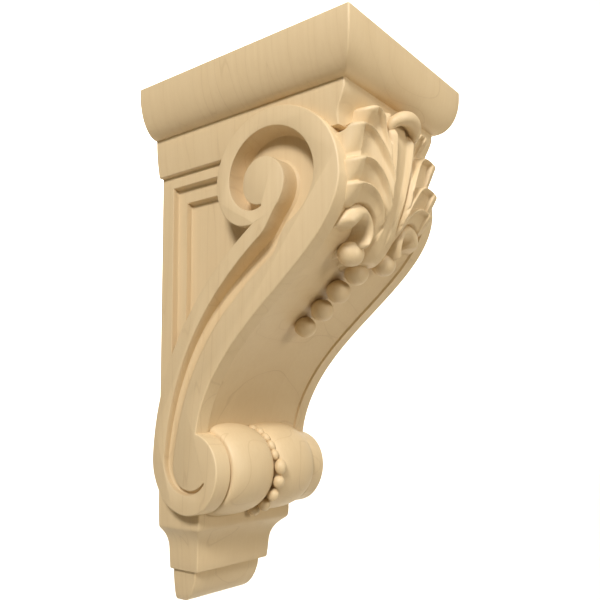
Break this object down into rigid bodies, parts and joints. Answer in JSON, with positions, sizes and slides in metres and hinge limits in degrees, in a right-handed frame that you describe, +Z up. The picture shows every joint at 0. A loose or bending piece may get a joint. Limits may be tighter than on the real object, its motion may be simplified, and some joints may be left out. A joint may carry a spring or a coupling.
{
  "type": "corbel bracket",
  "caption": "Carved wooden corbel bracket: moulded top, S-scroll cheeks, acanthus leaf over a string of berries, lower roll and stepped foot.",
  "frame": {"origin": "centre of the flat back face that goes against the wall, half way up and half way across", "axes": "+X to the right seen from the front, +Y into the wall, so the carved front faces -Y, +Z up to the flat top"},
  "size_m": [0.1404, 0.1752, 0.356],
  "materials": {
    "maple": "bare, fine-sanded"
  },
  "bodies": {
    "root": {"corbel": "maple"}
  },
  "joints": []
}
